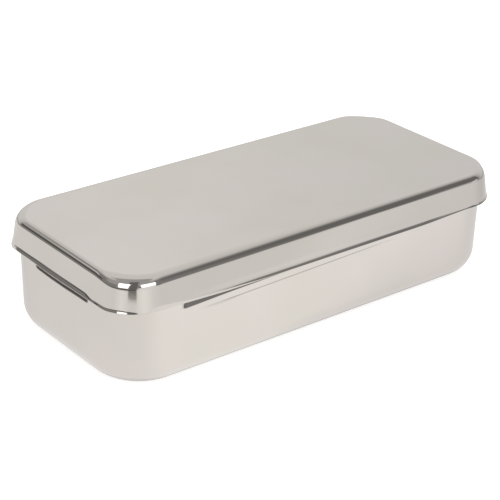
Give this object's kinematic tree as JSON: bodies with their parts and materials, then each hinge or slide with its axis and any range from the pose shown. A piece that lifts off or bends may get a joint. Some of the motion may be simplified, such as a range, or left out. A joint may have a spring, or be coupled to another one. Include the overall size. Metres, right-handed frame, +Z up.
{
  "type": "sterilization container",
  "caption": "Shallow rectangular instrument box in polished stainless sheet: a deep-drawn tray with rounded corners and a lift-off lid whose flared skirt slides over the tray's neck.",
  "frame": {"origin": "centre of the box's plan at the plane it stands on", "axes": "+X along the long side, +Y along the short side, +Z up through the lid"},
  "size_m": [0.2, 0.0926, 0.048],
  "materials": {
    "tray_steel": "bright polished, fine wiping marks",
    "lid_steel": "bright polished, fine satin grain on the flat top"
  },
  "bodies": {
    "tray": {"tray": "tray_steel"},
    "lid": {"lid": "lid_steel"}
  },
  "joints": [
    {"name": "lid_lift", "type": "slide", "parent": "tray", "child": "lid", "axis": [0, 0, 1], "range_m": [0, 0.06]}
  ]
}
